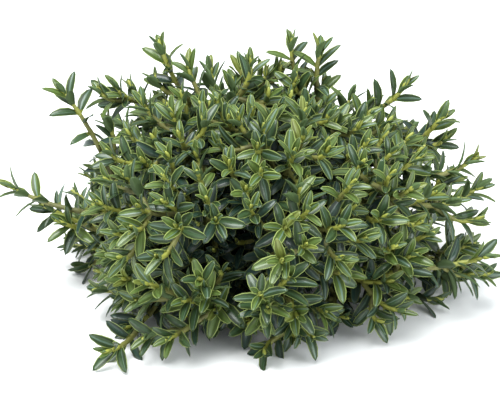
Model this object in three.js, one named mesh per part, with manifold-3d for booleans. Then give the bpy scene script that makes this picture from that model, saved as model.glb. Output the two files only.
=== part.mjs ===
// A hebe shrub: a low, wide bun of foliage on one short woody stem.
//
// The stem stands on the ground at the origin and forks at its head. Boughs fan out from it like
// the ribs of a basket, and each carries one mass of foliage: twigs that branch from a single
// stem, set with opposite leaves whose pairs turn a quarter at every joint.
//
// Millimetres, +Z up, -Y is the front, +X is the right. The origin is the centre of the flat cut
// under the stem, at ground level. Each mass keeps to its own space: the cone of directions, seen
// from the heart of the crown, that lie nearer to its bough than to any other.

import * as THREE from "three";
import { mergeVertices } from "three/addons/utils/BufferGeometryUtils.js";
import Module from "manifold-3d";

const wasm = await Module();
wasm.setup();

// ---------------------------------------------------------------- driving dimensions

const SEED = 11;

// The crown is half an ellipsoid with a soft underside, round the heart that its boughs aim from.
const CROWN = { halfWidth: 222, halfDepth: 208, rise: 180, heartHeight: 45 };
const GROUND_CLEAR = 3; // nothing but the stem comes nearer to the ground

// Places where the crown falls in: width is the angle over which the dent fades out.
const HOLLOWS = {
  lowerLeft: { azimuth: 197, rise: -4, width: 40, depth: 0.34 },
  leftNotch: { azimuth: 172, rise: 27, width: 27, depth: 0.4 },
  rightNotch: { azimuth: 32, rise: 52, width: 20, depth: 0.13 },
  frontFoot: { azimuth: 258, rise: -15, width: 34, depth: 0.38 },
  lowerRightFront: { azimuth: 307, rise: -14, width: 38, depth: 0.28 },
  backTop: { azimuth: 90, rise: 62, width: 42, depth: 0.14 },
};

// Rings of boughs, from the lowest up. collar is the height at which a ring leaves the stem.
const RINGS = [
  { name: "low", count: 9, rise: 3, firstAzimuth: 10, collar: 19 },
  { name: "middle", count: 7, rise: 33, firstAzimuth: 32, collar: 31 },
  { name: "upper", count: 4, rise: 61, firstAzimuth: 20, collar: 44 },
  { name: "top", count: 1, rise: 86, firstAzimuth: 200, collar: 53 },
];
const RING_JITTER = { azimuth: 4, rise: 3.5 }; // degrees either way
const COLLAR_STAGGER = 2; // neighbours in a ring leave the stem this far above or below its collar

// Strong shoots that stand out of the crown and give it its ragged outline. Each takes the place
// of the ordinary shoots round it.
const LEADERS = {
  leftTip: { azimuth: 180, rise: 16, reach: 258 },
  leftSecondTip: { azimuth: 176, rise: 11, reach: 222 },
  leftThirdTip: { azimuth: 185, rise: 11, reach: 202 },
  leftNotchTip: { azimuth: 168, rise: 25, reach: 184 },
  leftShoulder: { azimuth: 170, rise: 40, reach: 258 },
  leftCrest: { azimuth: 156, rise: 46, reach: 222 },
  leftSecondCrest: { azimuth: 145, rise: 44, reach: 216 },
  leftThirdCrest: { azimuth: 160, rise: 43, reach: 229 },
  leftInnerCrest: { azimuth: 165, rise: 39, reach: 202 },
  leftSpire: { azimuth: 151, rise: 63, reach: 235 },
  leftTop: { azimuth: 112, rise: 55, reach: 200 },
  leftInnerTop: { azimuth: 100, rise: 76, reach: 198 },
  top: { azimuth: 85, rise: 87, reach: 206 },
  rightTop: { azimuth: 58, rise: 72, reach: 195 },
  crest: { azimuth: 48, rise: 73, reach: 225 },
  secondCrest: { azimuth: 30, rise: 68, reach: 226 },
  rightSecondCrest: { azimuth: 40, rise: 44, reach: 198 },
  rightCrest: { azimuth: 18, rise: 44, reach: 238 },
  rightShoulder: { azimuth: 9, rise: 34, reach: 247 },
  rightSecondShoulder: { azimuth: 5, rise: 31, reach: 209 },
  rightUpperTip: { azimuth: 0, rise: 24, reach: 253 },
  rightInnerShoulder: { azimuth: 10, rise: 28, reach: 236 },
  rightInnerTip: { azimuth: 12, rise: 15, reach: 231 },
  rightMiddleTip: { azimuth: 5, rise: 14, reach: 250 },
  rightTip: { azimuth: 350, rise: 13, reach: 244 },
  rightSkirt: { azimuth: 341, rise: 7, reach: 255 },
  rightSecondSkirt: { azimuth: 343, rise: 1, reach: 236 },
  rightThirdSkirt: { azimuth: 352, rise: 5, reach: 231 },
  rightLowTip: { azimuth: 350, rise: -2, reach: 248 },
  leftSkirt: { azimuth: 231, rise: -7, reach: 224 },
  leftSecondSkirt: { azimuth: 238, rise: -5, reach: 195 },
  leftLowTip: { azimuth: 205, rise: -4, reach: 174 },
  leftFrontSkirt: { azimuth: 246, rise: -3, reach: 196 },
  frontSecondSkirt: { azimuth: 291, rise: -6, reach: 172 },
  frontSkirt: { azimuth: 275, rise: -11, reach: 171 },
  rightFrontSkirt: { azimuth: 316, rise: -6, reach: 183 },
  rightFrontTip: { azimuth: 320, rise: -2, reach: 197 },
};

const STEM = {
  height: 56,
  footRadius: 22, // over the root flare, at the ground
  neckRadius: 12.5,
  neckHeight: 17,
  headRadius: 14.5, // swollen where the boughs leave
  headHeight: 40,
  crestRadius: 8,
  crestHeight: 49, // a bough that leaves higher than this springs from the stem's own axis
  lobes: 5, // root flare lobes
  lobeDepth: 0.14,
  lean: 0.05, // sideways travel for each millimetre of height, towards +X
  sides: 16,
};

const BOUGH = {
  baseRadius: 3.5,
  tipRadius: 2.4,
  share: 0.4, // of the crown's reach at which a bough ends and its mass begins
  sink: 3.5, // how deep its axis starts inside the stem, before it is cut to the stem's skin
  sides: 6,
  steps: 3,
};

// A twig starts on its parent's axis at heelRadius, inside the parent's wood, is thickest just
// outside it, tapers, and ends in a closed bud.
const TWIG = {
  heelRadius: 1.1,
  baseRadius: 2.1,
  tipRadius: 1.2,
  budRadius: 2.5,
  budLength: 14,
  thickestAt: 0.3, // share of its length
  budWidestAt: 0.45, // share of the bud's length, up from its base
  sides: 3,
  liftAtTip: 0.34, // how much a tip turns up from its own direction towards the light
  bend: 0.42, // share of a twig's length over which it swings into its final direction
  shortest: 30,
  widestFork: 62,
  turnCost: 30, // millimetres of detour that one radian of branching angle is worth
};

// Foliage is fewer and larger than life: each leaf stands for a cluster of real ones.
const LEAF = {
  length: 56,
  width: 32,
  thickness: 1.4,
  channel: 2, // the margins stand this far above the midrib
  droop: 3.2, // how far the tip falls below a straight line
  widestAt: 0.5,
  sunk: 0.25, // how far past the twig's axis the base starts
};
// Pairs of leaves from a shoot's tip down: distance from the tip, size and angle to the twig.
const PAIRS = [
  { back: 13, size: 0.74, angle: 44 },
  { back: 25, size: 1, angle: 66 },
  { back: 43, size: 1, angle: 80 },
];
const LEAFLESS = 0.15; // share of a shoot's length, at its heel, that carries no leaves
const LEAF_PAST_BUD = 9; // how far the leaves reach past the bud, where a shoot ends
const ROLLS = 6; // turns of a shoot about its axis that are tried
const SECOND_TRY = 0.72; // a leaf that would leave its space is tried again at this size

const SHOOTS = {
  count: 100,
  lowestRise: -12,
  jitter: 4,
  reachSpread: 0.06, // how far a shoot may fall short of, or pass, the crown's own outline
  leaderSpace: 6.5, // degrees round a leader that no other shoot fills
  drawIn: 0.2, // share of the way to its bough's direction by which a shoot leans inwards
};
const LOWEST_TIP = 8; // no shoot ends lower than this
const JOINTS = [0.12, 0.3, 0.48, 0.64]; // shares of a twig's length at which others may spring
const TOUCH = 0.05; // mm3 that a leaf may share with what grew before it
const GAP = 0.3; // clearance between solids that touch on the plant
const SPACE_MARGIN = 0.4; // clearance of foliage from the walls of its space
const FINEST = 0.05; // detail smaller than this is left out of a joined solid
const GRIDS = [0.002, 0.0025, 0.003, 0.004, 0.005, 0.006, 0.0015]; // spacings of its corners, as tried

const COLOURS = { bark: 0x6e5b45, bough: 0x7a6a49, foliage: 0x4d6b3c };

// ---------------------------------------------------------------- small helpers

const UP = new THREE.Vector3(0, 0, 1);
const SLANT = new THREE.Vector3(0.31, -0.17, 0.93).normalize();
const HEART = new THREE.Vector3(0, 0, CROWN.heartHeight);
const GOLDEN_ANGLE = Math.PI * (3 - Math.sqrt(5));
const radians = THREE.MathUtils.degToRad;

// A repeatable dice: a linear congruential generator on 32 bits.
function makeDice(seed) {
  let state = (seed * 2654435761) >>> 0;
  return () => {
    state = (Math.imul(state, 1664525) + 1013904223) >>> 0;
    return state / 4294967296;
  };
}

const either = (dice, amount) => (2 * dice() - 1) * amount;

function direction(azimuth, rise) {
  const flat = Math.cos(radians(rise));
  return new THREE.Vector3(
    flat * Math.cos(radians(azimuth)),
    flat * Math.sin(radians(azimuth)),
    Math.sin(radians(rise)),
  );
}

// How far the crown reaches from its heart along a direction: the ellipsoid, less its hollows.
function crownReach(way) {
  const { halfWidth, halfDepth, rise } = CROWN;
  const full = 1 / Math.hypot(way.x / halfWidth, way.y / halfDepth, way.z / rise);
  const dents = Object.values(HOLLOWS).map((hollow) => {
    const off = way.angleTo(direction(hollow.azimuth, hollow.rise)) / radians(hollow.width);
    return 1 - hollow.depth * Math.max(0, 1 - off ** 2);
  });
  return full * dents.reduce((product, dent) => product * dent);
}

// Where a point lies between the heart, 0, and the crown's outline, 1.
function crownShare(point) {
  const offset = point.clone().sub(HEART);
  return offset.length() / crownReach(offset.clone().normalize());
}

const fromHeart = (way, distance) => HEART.clone().addScaledVector(way, distance);

// ---------------------------------------------------------------- solids

function toSolid(geometry) {
  const bare = geometry.clone();
  bare.deleteAttribute("normal");
  bare.deleteAttribute("uv");
  const merged = mergeVertices(bare, 1e-4);
  return new wasm.Manifold(
    new wasm.Mesh({
      numProp: 3,
      vertProperties: new Float32Array(merged.attributes.position.array),
      triVerts: new Uint32Array(merged.index.array),
    }),
  );
}

function toGeometry(solid) {
  const mesh = solid.getMesh();
  const geometry = new THREE.BufferGeometry();
  const positions = new Float32Array(mesh.vertProperties);
  geometry.setAttribute("position", new THREE.BufferAttribute(positions, 3));
  geometry.setIndex(new THREE.BufferAttribute(new Uint32Array(mesh.triVerts), 1));
  geometry.computeVertexNormals();
  return geometry;
}

// A solid with its corners set on a grid, without the scraps and sealed hollows that come off.
function onGrid(solid, grid) {
  const geometry = toGeometry(solid);
  const position = geometry.attributes.position;
  position.array.forEach((value, i) => {
    position.array[i] = Math.round(value / grid) * grid;
  });
  const bodies = toSolid(geometry).decompose();
  return bodies.reduce((most, body) => (body.volume() > most.volume() ? body : most));
}

// True where no edge is shared by more than two faces, so that nothing touches itself.
function isClean(solid) {
  const { vertProperties, triVerts } = solid.getMesh();
  const keys = Array.from({ length: vertProperties.length / 3 }, (_, i) =>
    vertProperties.slice(3 * i, 3 * i + 3).join(),
  );
  const edges = new Set();
  for (let i = 0; i < triVerts.length; i++) {
    const next = i % 3 === 2 ? i - 2 : i + 1;
    const edge = `${keys[triVerts[i]]} ${keys[triVerts[next]]}`;
    if (edges.has(edge)) return false;
    edges.add(edge);
  }
  return true;
}

// One clean body from a joined or cut solid, on the first grid that leaves it touching itself
// nowhere.
function tidy(solid) {
  for (const grid of GRIDS) {
    const body = onGrid(onGrid(solid.simplify(FINEST), grid), grid);
    if (isClean(body)) return body;
  }
  throw new Error("a joined solid still touches itself");
}

const join = (solids) => solids.reduce((whole, next) => whole.add(next));

// A closed tube along a curve, with a radius at each of its stations: a cylinder whose rings are
// moved onto the curve. A last radius of 0 closes it in a point.
function limbSolid(curve, stations, sides) {
  const steps = stations.length - 1;
  const first = stations[0].radius;
  const last = stations[steps].radius;
  const geometry = new THREE.CylinderGeometry(last > 0 ? 1 : 0, first, steps, sides, steps);
  const position = geometry.attributes.position;
  const twist = new THREE.Vector3().crossVectors(curve.getTangent(0), SLANT).normalize();
  for (let i = 0; i < position.count; i++) {
    const step = Math.round(position.getY(i) + steps / 2);
    const { share, radius } = stations[step];
    const around = Math.atan2(position.getZ(i), position.getX(i));
    const out = Math.hypot(position.getX(i), position.getZ(i)) > 1e-6 ? radius : 0;
    const across = new THREE.Vector3().crossVectors(curve.getTangent(share), twist).normalize();
    const beside = new THREE.Vector3().crossVectors(across, curve.getTangent(share));
    const place = curve
      .getPoint(share)
      .addScaledVector(across, out * Math.cos(around))
      .addScaledVector(beside, out * Math.sin(around));
    position.setXYZ(i, place.x, place.y, place.z);
  }
  return toSolid(geometry);
}

// Evenly spaced stations of a plain taper.
function taper(baseRadius, tipRadius, steps) {
  return Array.from({ length: steps + 1 }, (_, step) => ({
    share: step / steps,
    radius: THREE.MathUtils.lerp(baseRadius, tipRadius, step / steps),
  }));
}

// A leaf of eight faces: an octahedron drawn out from base to tip, flattened and channelled.
function leafGeometry(size) {
  const geometry = new THREE.OctahedronGeometry(1, 0);
  const position = geometry.attributes.position;
  for (let i = 0; i < position.count; i++) {
    const [along, side, face] = [position.getX(i), position.getY(i), position.getZ(i)];
    const share = along < -0.5 ? 0 : along > 0.5 ? 1 : LEAF.widestAt;
    const lift = (Math.abs(side) * LEAF.channel + (face * LEAF.thickness) / 2) * size;
    const fall = LEAF.droop * size * (share ** 2 - share * LEAF.widestAt);
    position.setXYZ(
      i,
      share * LEAF.length * size - LEAF.sunk,
      (side * LEAF.width * size) / 2,
      lift - fall,
    );
  }
  return geometry;
}

// ---------------------------------------------------------------- the stem and its boughs

function stemRadiusAt(height) {
  const { footRadius, neckRadius, neckHeight, headRadius, headHeight, crestRadius } = STEM;
  if (height < neckHeight) {
    const share = 1 - height / neckHeight;
    return neckRadius + (footRadius - neckRadius) * share ** 2;
  }
  const mix = THREE.MathUtils.smoothstep(height, neckHeight, headHeight);
  const body = THREE.MathUtils.lerp(neckRadius, headRadius, mix);
  const crest = THREE.MathUtils.smoothstep(height, headHeight, STEM.height);
  return THREE.MathUtils.lerp(body, crestRadius, crest);
}

// The stem, or with grow above 0 the same shape with a skin of that thickness round it.
function stemSolid(grow = 0) {
  const rings = 9;
  const profile = [new THREE.Vector2(0, -grow)];
  for (let ring = 0; ring <= rings; ring++) {
    const height = (ring / rings) * STEM.height;
    const level = ring === 0 ? -grow : ring === rings ? height + grow : height;
    profile.push(new THREE.Vector2(stemRadiusAt(height) + grow, level));
  }
  profile.push(new THREE.Vector2(0, STEM.height + grow));
  const geometry = new THREE.LatheGeometry(profile, STEM.sides);
  geometry.rotateX(Math.PI / 2);
  const position = geometry.attributes.position;
  for (let i = 0; i < position.count; i++) {
    const [x, y, z] = [position.getX(i), position.getY(i), position.getZ(i)];
    const flare = Math.max(0, 1 - z / STEM.neckHeight);
    const lobe = 1 + STEM.lobeDepth * flare * Math.cos(STEM.lobes * Math.atan2(y, x));
    position.setXYZ(i, x * lobe + STEM.lean * Math.max(z, 0), y * lobe, z);
  }
  return toSolid(geometry);
}

// Every bough's direction, ring by ring, with a little seeded disorder.
function planBoughs() {
  const dice = makeDice(SEED);
  return RINGS.flatMap((ring) =>
    Array.from({ length: ring.count }, (_, place) => {
      const azimuth =
        ring.firstAzimuth + (360 / ring.count) * place + either(dice, RING_JITTER.azimuth);
      const rise = ring.rise + either(dice, RING_JITTER.rise);
      const way = direction(azimuth, rise);
      const collar = ring.collar + (place % 2 ? COLLAR_STAGGER : -COLLAR_STAGGER);
      return { name: `${ring.name}_${place + 1}`, azimuth, rise, way, collar };
    }),
  );
}

// From inside the stem, out at its collar, then swinging into line with its own direction.
function boughCurve(bough) {
  const outward = direction(bough.azimuth, 0);
  const fromCrest = bough.collar > STEM.crestHeight;
  const offset = fromCrest ? 0 : stemRadiusAt(bough.collar) - BOUGH.sink;
  const start = new THREE.Vector3(STEM.lean * bough.collar, 0, bough.collar);
  start.addScaledVector(outward, offset);
  const length = crownReach(bough.way) * BOUGH.share;
  const tip = fromHeart(bough.way, length);
  const bend = fromHeart(bough.way, length * 0.5);
  return new THREE.QuadraticBezierCurve3(start, bend, tip);
}

// ---------------------------------------------------------------- foliage

// The space of one mass: its cone of directions, from the bough tips out, above the ground.
function makeSpace(bough, boughs) {
  const walls = boughs
    .filter((other) => other !== bough)
    .map((other) => bough.way.clone().sub(other.way).normalize());
  const holds = (point) =>
    point.z > GROUND_CLEAR &&
    crownShare(point) > BOUGH.share + 0.03 &&
    walls.every((wall) => point.clone().sub(HEART).dot(wall) > SPACE_MARGIN);
  return { holds };
}

// A shoot's end: full is how far its leaves come, and reach is where its bud stops, short of that.
function tipAt(way, full, drawIn = 0) {
  const reach = full - LEAF_PAST_BUD;
  return { way, full, reach, drawIn, end: fromHeart(way, reach) };
}

// The ends of all shoots: the leaders, then shoots spread over the crown as seeds are in a
// sunflower head, at evenly falling heights and a golden angle apart.
function planTips() {
  const dice = makeDice(SEED + 7);
  const leaders = Object.values(LEADERS).map((leader) =>
    tipAt(direction(leader.azimuth, leader.rise), leader.reach),
  );
  const lowest = Math.sin(radians(SHOOTS.lowestRise));
  const spread = Array.from({ length: SHOOTS.count }, (_, i) => {
    const height = THREE.MathUtils.lerp(1, lowest, (i + 0.5) / SHOOTS.count);
    const azimuth = THREE.MathUtils.radToDeg(i * GOLDEN_ANGLE) + either(dice, SHOOTS.jitter);
    const way = direction(azimuth, THREE.MathUtils.radToDeg(Math.asin(height)));
    const full = crownReach(way) * (1 + either(dice, SHOOTS.reachSpread));
    return tipAt(way, full, SHOOTS.drawIn);
  });
  const free = spread.filter((tip) =>
    leaders.every((leader) => leader.way.angleTo(tip.way) > radians(SHOOTS.leaderSpace)),
  );
  return [...leaders, ...free];
}

// The tips in a mass's space, drawn in a little from its walls so that their leaves have room,
// with the one most nearly in line with its bough first.
function tipsOf(bough, boughs, tips) {
  const nearest = (way) =>
    boughs.reduce((best, other) => (other.way.dot(way) > best.way.dot(way) ? other : best));
  return tips
    .filter((tip) => nearest(tip.way) === bough)
    .map((tip) => tipAt(tip.way.clone().lerp(bough.way, tip.drawIn).normalize(), tip.full))
    .filter((tip) => tip.end.z > LOWEST_TIP)
    .sort((one, other) => other.way.dot(bough.way) - one.way.dot(bough.way));
}

// A twig's path: it leaves its parent and swings up into its final direction.
function twigCurve(from, tip) {
  const length = tip.end.distanceTo(from);
  const heading = tip.way.clone().addScaledVector(UP, TWIG.liftAtTip).normalize();
  const bend = tip.end.clone().addScaledVector(heading, -TWIG.bend * length);
  return new THREE.QuadraticBezierCurve3(from, bend, tip.end);
}

// The point on a mass's twigs from which a new tip is reached with least length and turning.
function branchPoint(tip, joints) {
  let best = joints[0];
  let least = Infinity;
  for (const joint of joints) {
    const path = tip.end.clone().sub(joint.point);
    const length = path.length();
    const turning = path.angleTo(joint.heading);
    const cost = length + TWIG.turnCost * turning;
    if (length > TWIG.shortest && turning < radians(TWIG.widestFork) && cost < least) {
      [best, least] = [joint, cost];
    }
  }
  return best;
}

// The stations of a twig, from its heel to the point of its bud.
function twigStations(curve, heelRadius, baseRadius) {
  const budShare = TWIG.budLength / curve.getLength();
  return [
    { share: 0, radius: heelRadius },
    { share: TWIG.thickestAt, radius: baseRadius },
    { share: 1 - budShare, radius: TWIG.tipRadius },
    { share: 1 - budShare * (1 - TWIG.budWidestAt), radius: TWIG.budRadius },
    { share: 1, radius: 0 },
  ];
}

// A point on a twig's axis as its faces have it: straight from each station to the next.
function axisPoint({ curve, stations }, share) {
  const next = Math.max(1, stations.findIndex((station) => station.share >= share));
  const [before, after] = [stations[next - 1].share, stations[next].share];
  const mix = (share - before) / (after - before);
  return curve.getPoint(before).lerp(curve.getPoint(after), mix);
}

// A leaf's shape, standing out from a twig at a pair's angle.
function placedLeaf(point, heading, outward, angle, size) {
  const along = heading.clone().multiplyScalar(Math.cos(angle));
  along.addScaledVector(outward, Math.sin(angle));
  const face = heading.clone().multiplyScalar(Math.sin(angle));
  face.addScaledVector(outward, -Math.cos(angle));
  const side = new THREE.Vector3().crossVectors(face, along);
  const frame = new THREE.Matrix4().makeBasis(along, side, face).setPosition(point);
  return leafGeometry(size).applyMatrix4(frame);
}

// The places of a shoot's leaves: opposite pairs, each turned a quarter from the one above.
function leafPlaces(twig, roll) {
  const length = twig.curve.getLength();
  return PAIRS.filter((pair) => pair.back < length * (1 - LEAFLESS)).flatMap((pair, level) => {
    const share = twig.curve.getUtoTmapping(1 - pair.back / length);
    const point = axisPoint(twig, share);
    const heading = twig.curve.getTangent(share);
    const across = new THREE.Vector3().crossVectors(heading, UP).normalize();
    across.applyAxisAngle(heading, roll + (level * Math.PI) / 2);
    return [across, across.clone().negate()].map((outward) => ({
      level,
      solidAt: (shrink) =>
        placedLeaf(point, heading, outward, radians(pair.angle), pair.size * shrink),
    }));
  });
}

// The roll at which most of a shoot's leaves keep to the space at full size.
function bestRoll(twig, space, start) {
  const rolls = Array.from({ length: ROLLS }, (_, turn) => start + (turn / ROLLS) * (Math.PI / 2));
  const fits = rolls.map(
    (roll) => leafPlaces(twig, roll).filter((leaf) => holdsAll(space, leaf.solidAt(1))).length,
  );
  return rolls[fits.indexOf(Math.max(...fits))];
}

// One leaf, tried at two sizes, or nothing where neither keeps to the mass's space and clear of
// what already grows there.
function fittedLeaf(leaf, space, crowd) {
  for (const shrink of [1, SECOND_TRY]) {
    const geometry = leaf.solidAt(shrink);
    if (!holdsAll(space, geometry)) continue;
    const solid = toSolid(geometry);
    if (solid.intersect(crowd).volume() < TOUCH) return solid;
  }
  return null;
}

function holdsAll(space, geometry) {
  const position = geometry.attributes.position;
  const corner = new THREE.Vector3();
  for (let i = 0; i < position.count; i++) {
    if (!space.holds(corner.fromBufferAttribute(position, i))) return false;
  }
  return true;
}

// The twigs of a mass: the first is its own stem, in line with the bough's end, and each later
// one springs from whichever earlier twig serves its tip best.
function growTwigs(bough, tips) {
  const foot = crownReach(bough.way) * BOUGH.share + GAP;
  const start = fromHeart(bough.way, foot);
  const joints = [{ point: start, heading: bough.way }];
  return tips.map((tip, order) => {
    const root = order === 0;
    const bend = start.clone().addScaledVector(bough.way, (tip.reach - foot) * 0.5);
    const curve = root
      ? new THREE.QuadraticBezierCurve3(start, bend, tip.end)
      : twigCurve(branchPoint(tip, joints).point, tip);
    const stations = root
      ? twigStations(curve, BOUGH.tipRadius, BOUGH.tipRadius)
      : twigStations(curve, TWIG.heelRadius, TWIG.baseRadius);
    const twig = { curve, stations, solid: limbSolid(curve, stations, TWIG.sides) };
    for (const share of JOINTS) {
      joints.push({ point: axisPoint(twig, share), heading: curve.getTangent(share) });
    }
    return twig;
  });
}

// A mass: its twigs, and their leaves, of which the pairs nearest the tips are set first.
function foliageSolid(bough, boughs, tips, dice) {
  const space = makeSpace(bough, boughs);
  const twigs = growTwigs(bough, tipsOf(bough, boughs, tips));
  const shoots = twigs.map((twig, order) => {
    const places = leafPlaces(twig, bestRoll(twig, space, dice() * Math.PI));
    const others = twigs.filter((_, place) => place !== order);
    return { places, obstacles: others.map((other) => other.solid) };
  });
  let whole = join(twigs.map((twig) => twig.solid));
  const leaves = [];
  PAIRS.forEach((_, level) => {
    for (const { places, obstacles } of shoots) {
      const crowd = join([...obstacles, ...leaves]);
      for (const place of places.filter((leaf) => leaf.level === level)) {
        const leaf = fittedLeaf(place, space, crowd);
        if (!leaf) continue;
        leaves.push(leaf);
        whole = whole.add(leaf);
      }
    }
  });
  return tidy(whole);
}

// ---------------------------------------------------------------- the shrub

function meshOf(name, solid, colour, roughness) {
  const material = new THREE.MeshStandardMaterial({ color: colour, roughness, metalness: 0 });
  const mesh = new THREE.Mesh(toGeometry(solid), material);
  mesh.name = name;
  return mesh;
}

function buildShrub() {
  const shrub = new THREE.Group();
  shrub.add(meshOf("main_stem", stemSolid(), COLOURS.bark, 0.9));
  const stemWithGap = stemSolid(GAP);
  const boughs = planBoughs();
  const tips = planTips();
  const dice = makeDice(SEED + 1);
  const boughTaper = taper(BOUGH.baseRadius, BOUGH.tipRadius, BOUGH.steps);
  for (const bough of boughs) {
    const limb = limbSolid(boughCurve(bough), boughTaper, BOUGH.sides);
    const cut = tidy(limb.subtract(stemWithGap));
    shrub.add(meshOf(`bough_${bough.name}`, cut, COLOURS.bough, 0.85));
    const foliage = foliageSolid(bough, boughs, tips, dice);
    shrub.add(meshOf(`foliage_${bough.name}`, foliage, COLOURS.foliage, 0.5));
  }
  return shrub;
}

export default buildShrub();
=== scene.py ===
"""A hebe shrub: a low, wide bun of glossy leaves on boughs that fan out from one short stem.

The stem and the boughs follow the frame's solids. In place of each foliage solid grow finer
twigs, by a seeded rule like its own, with opposite leaves whose pairs turn a quarter each time.

Metres, +Z up, -Y is the front. The origin is the centre of the flat cut under the stem.
"""

import math
from collections import namedtuple

import bmesh
import bpy
import numpy as np
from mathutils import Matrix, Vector, noise


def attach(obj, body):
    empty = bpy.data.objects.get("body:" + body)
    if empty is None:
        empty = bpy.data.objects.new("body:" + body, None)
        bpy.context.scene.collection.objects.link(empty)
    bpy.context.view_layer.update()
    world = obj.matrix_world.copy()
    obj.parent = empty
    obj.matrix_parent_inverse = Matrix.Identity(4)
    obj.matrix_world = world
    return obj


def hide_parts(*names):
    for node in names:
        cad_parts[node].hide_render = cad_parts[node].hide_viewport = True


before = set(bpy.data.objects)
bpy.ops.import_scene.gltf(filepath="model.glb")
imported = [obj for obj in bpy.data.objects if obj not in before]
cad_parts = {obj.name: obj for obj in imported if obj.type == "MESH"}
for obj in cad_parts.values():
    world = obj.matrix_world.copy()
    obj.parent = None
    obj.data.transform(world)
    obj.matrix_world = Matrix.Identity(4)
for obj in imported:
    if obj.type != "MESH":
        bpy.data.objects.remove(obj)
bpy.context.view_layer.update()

bl_info = {
    "name": "Hebe Shrub",
    "version": (1, 0, 0),
    "blender": (4, 5, 0),
    "location": "View3D > Sidebar > Shrub",
    "description": "Grows a hebe shrub on the stem and boughs of its packed frame",
    "category": "Add Mesh",
}

# ---------- the plan shared with the frame

SEED = 11
GOLDEN_ANGLE = math.pi * (3 - math.sqrt(5))
UP = np.array([0.0, 0.0, 1.0])
SLANT = np.array([0.31, -0.17, 0.93])  # in line with no limb
NEARLY_UP = UP + SLANT * 0.01

Dent = namedtuple("Dent", "azimuth rise width depth")
# Hollows in the crown's outline: where and how wide in degrees, how deep as a share of its reach.
HOLLOWS = {
    "lower left": Dent(197, -4, 40, 0.34),
    "left notch": Dent(172, 27, 27, 0.40),
    "right notch": Dent(32, 52, 20, 0.13),
    "front foot": Dent(258, -15, 34, 0.38),
    "lower right front": Dent(307, -14, 38, 0.28),
    "back top": Dent(90, 62, 42, 0.14),
}

Ring = namedtuple("Ring", "name count rise first_azimuth collar")
RINGS = (  # of boughs: how many, how steep, and the height at which they leave the stem
    Ring("low", 9, 3, 10, 0.019),
    Ring("middle", 7, 33, 32, 0.031),
    Ring("upper", 4, 61, 20, 0.044),
    Ring("top", 1, 86, 200, 0.053),
)
RING_JITTER = (4, 3.5)  # degrees either way, in azimuth and in rise
COLLAR_STAGGER = 0.002  # of neighbours in a ring, above and below its collar

STEM_LEAN = 0.05  # sideways travel for each metre of height
NECK_HEIGHT = 0.017  # over the root flare
HEAD_HEIGHT = 0.040  # where the boughs leave
CREST_HEIGHT = 0.049  # a bough that leaves higher springs from the stem's axis
CREST_RADIUS = 0.008
BOUGH_SINK = 0.0035

Leader = namedtuple("Leader", "azimuth rise reach flanked", defaults=(False,))
LEADERS = {
    "left tip": Leader(180, 16, 0.258),
    "left second tip": Leader(176, 11, 0.222),
    "left third tip": Leader(185, 11, 0.202),
    "left notch tip": Leader(168, 25, 0.184),
    "left shoulder": Leader(170, 40, 0.258),
    "left crest": Leader(156, 46, 0.222),
    "left second crest": Leader(145, 44, 0.216),
    "left third crest": Leader(160, 43, 0.229),
    "left inner crest": Leader(165, 39, 0.202),
    "left spire": Leader(151, 63, 0.235, True),
    "left top": Leader(112, 55, 0.200),
    "left inner top": Leader(100, 76, 0.198),
    "top": Leader(85, 87, 0.206, True),
    "right top": Leader(58, 72, 0.195),
    "crest": Leader(48, 73, 0.225, True),
    "second crest": Leader(30, 68, 0.226, True),
    "right second crest": Leader(40, 44, 0.198),
    "right crest": Leader(18, 44, 0.238, True),
    "right shoulder": Leader(9, 34, 0.247),
    "right second shoulder": Leader(5, 31, 0.209),
    "right upper tip": Leader(0, 24, 0.253, True),
    "right inner shoulder": Leader(10, 28, 0.236),
    "right inner tip": Leader(12, 15, 0.231),
    "right middle tip": Leader(5, 14, 0.250),
    "right tip": Leader(350, 13, 0.244),
    "right skirt": Leader(341, 7, 0.255),
    "right second skirt": Leader(343, 1, 0.236),
    "right third skirt": Leader(352, 5, 0.231),
    "right low tip": Leader(350, -2, 0.248),
    "left skirt": Leader(231, -7, 0.224),
    "left second skirt": Leader(238, -5, 0.195),
    "left low tip": Leader(205, -4, 0.174),
    "left front skirt": Leader(246, -3, 0.196),
    "front second skirt": Leader(291, -6, 0.172),
    "front skirt": Leader(275, -11, 0.171),
    "right front skirt": Leader(316, -6, 0.183),
    "right front tip": Leader(320, -2, 0.197),
}

JOINTS = (0.12, 0.3, 0.48, 0.64)  # shares of a twig at which others may spring
LIFT_AT_TIP = 0.34
BEND_SHARE = 0.42  # share of a twig over which it swings into line
TURN_COST = 0.030  # metres of detour that a radian is worth
WIDEST_FORK = 62  # degrees

# ---------- shoots finer than the frame's

SHORTEST_TWIG = 0.026
LOWEST_END = 0.010  # a shoot that would end lower is left out
LEADER_SPACE = 5.5  # degrees that other shoots leave free
LEADER_GROWTH = (1.04, 1.05)  # size of its leaves, and how far apart their pairs stand
FLANK = 6.5  # degrees from a leader to the shoots on its two sides
FLANK_TURN = 1.5  # radians either way, from the level
FLANK_REACH = (0.86, 0.04)  # share of the leader's own reach, and its spread

Layer = namedtuple("Layer", "count depth spread highest")
# Shoots: how many, at what share of the crown's reach, how far they stray, how high they rise.
LAYERS = (
    Layer(290, 1.0, 0.065, 90),
    Layer(190, 0.80, 0.05, 66),
    Layer(180, 0.62, 0.06, 72),
    Layer(100, 0.46, 0.05, 40),
)
LOWEST_RISE = -12  # degrees, of every layer
SHOOT_JITTER = 4  # degrees either way
SHOOT_LEAF = (0.94, 0.12, 0.1)  # size of a leaf, its gain at the front and the back, its spread
SHOOT_STRETCH = (0.92, 0.1)  # how far apart the pairs of leaves stand, and its spread

Gap = namedtuple("Gap", "azimuth rise width")
GAPS = (Gap(261, 26, 8.5), Gap(286, 12, 7), Gap(268, 9, 6.5), Gap(304, 5, 7.5))  # seen into, dark
GAP_DEPTH = 0.7  # share of the crown's reach that no shoot passes there

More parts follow.
